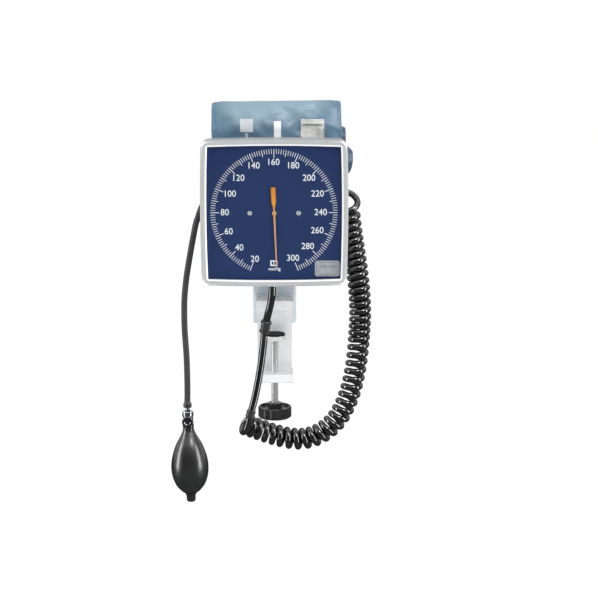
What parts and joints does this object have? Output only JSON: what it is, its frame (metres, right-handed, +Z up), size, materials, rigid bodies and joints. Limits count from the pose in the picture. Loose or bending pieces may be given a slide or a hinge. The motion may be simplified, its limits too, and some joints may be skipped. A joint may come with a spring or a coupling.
{
  "type": "aneroid sphygmomanometer",
  "caption": "Rail-clamped dial blood pressure gauge with a cuff basket, folded cuff, coiled hose and rubber inflation bulb.",
  "frame": {"origin": "on the axis of the rail, at the middle of the clamp", "axes": "+X to the right of the dial along the rail, -Y towards the reader, +Z up"},
  "size_m": [0.2317, 0.093, 0.4658],
  "materials": {
    "white_enamel": "smooth white enamel over cast aluminium",
    "pale_plate": "pale blue-grey powder coat",
    "white_plastic": "white moulded plastic, satin",
    "pale_plastic": "off-white moulded plastic",
    "black_plastic": "black moulded plastic",
    "bright_steel": "zinc-plated steel",
    "chrome": "polished chrome plate",
    "chrome_dark": "dark chrome plate",
    "brass": "machined brass",
    "clear_lens": "clear moulded window",
    "dial_navy": "printed navy dial",
    "pointer_amber": "amber pointer",
    "black_rubber": "black rubber",
    "hose_rubber": "glossy black hose",
    "bulb_rubber": "moulded black rubber, satin",
    "cuff_cloth": "steel-blue coated cuff fabric",
    "hook_cloth": "light-grey hook tape"
  },
  "bodies": {
    "root": {"clamp_body": "white_enamel", "jaw_screws": "bright_steel", "mount_plate": "pale_plate", "plate_screws": "bright_steel", "cuff_basket": "white_plastic", "basket_screws": "bright_steel", "basket_nuts": "bright_steel", "case_screws": "bright_steel", "rear_case": "white_plastic", "front_bezel": "white_plastic", "lens": "clear_lens", "lens_gasket": "white_plastic", "dial_plate": "dial_navy", "dial_screws": "white_plastic", "sector_stud": "bright_steel", "capsule": "brass", "hairspring": "brass", "movement_base": "brass", "rear_pillars": "brass", "movement_rear_plate": "brass", "front_pillars": "brass", "movement_front_plate": "brass", "movement_screws": "bright_steel", "inlet_port": "bright_steel", "port_nut": "bright_steel", "inner_tube": "black_rubber", "gauge_hose": "hose_rubber", "hose_connector": "black_plastic", "link_hose": "hose_rubber", "coil_connector": "black_plastic", "coil_tube": "hose_rubber", "cuff_connector": "pale_plastic", "cuff_tubes": "hose_rubber", "cuff": "cuff_cloth", "cuff_hook_patch": "hook_cloth", "bulb_connector": "pale_plastic", "bulb_tube": "hose_rubber", "tube_sleeve": "black_plastic", "valve_body": "chrome", "bulb": "bulb_rubber", "end_valve": "chrome"},
    "pad": {"pad_rubber": "black_rubber", "pad_cup": "bright_steel"},
    "screw": {"clamp_screw": "bright_steel", "clamp_knob": "black_plastic"},
    "pointer_set": {"pointer": "pointer_amber", "pointer_cap": "pointer_amber", "pinion_arbor": "brass"},
    "sector": {"sector_gear": "brass"},
    "rocker": {"rocker_shaft": "bright_steel"},
    "push_pin": {"capsule_pin": "bright_steel"},
    "release_screw": {"valve_screw": "chrome_dark"}
  },
  "joints": [
    {"name": "screw_turn", "type": "hinge", "parent": "pad", "child": "screw", "pos_m": [0, 0, -0.06], "axis": [0, 0, 1], "range_deg": [-9966, 7201]},
    {"name": "pad_slide", "type": "slide", "parent": "root", "child": "pad", "axis": [0, 0, 1], "range_m": [-0.0346, 0.025]},
    {"name": "pointer_turn", "type": "hinge", "parent": "root", "child": "pointer_set", "pos_m": [0, -0.06, 0.134], "axis": [0, 1, 0], "range_deg": [0, 340], "stiffness_Nm_per_rad": 0.0001, "springref_deg": -45.84},
    {"name": "sector_swing", "type": "hinge", "parent": "root", "child": "sector", "pos_m": [0, -0.0575, 0.09435], "axis": [0, 1, 0], "range_deg": [-34, 0]},
    {"name": "rocker_turn", "type": "hinge", "parent": "root", "child": "rocker", "pos_m": [-0.00095, -0.052, 0.104], "axis": [0, 0, 1], "range_deg": [0, 30]},
    {"name": "pin_lift", "type": "slide", "parent": "root", "child": "push_pin", "axis": [0, -1, 0], "range_m": [0, 0.00155]},
    {"name": "valve_turn", "type": "hinge", "parent": "root", "child": "release_screw", "pos_m": [-0.10084, -0.036, -0.11239], "axis": [0, -1, 0], "range_deg": [-540, 0]}
  ],
  "couplings": [
    {"joint": "screw_turn", "follows": "pad_slide", "rad_per_m": 5026.5},
    {"joint": "sector_swing", "follows": "pointer_turn", "ratio": -0.1},
    {"joint": "rocker_turn", "follows": "pointer_turn", "ratio": 0.088235},
    {"joint": "pin_lift", "follows": "pointer_turn", "m_per_rad": 0.0002616}
  ]
}
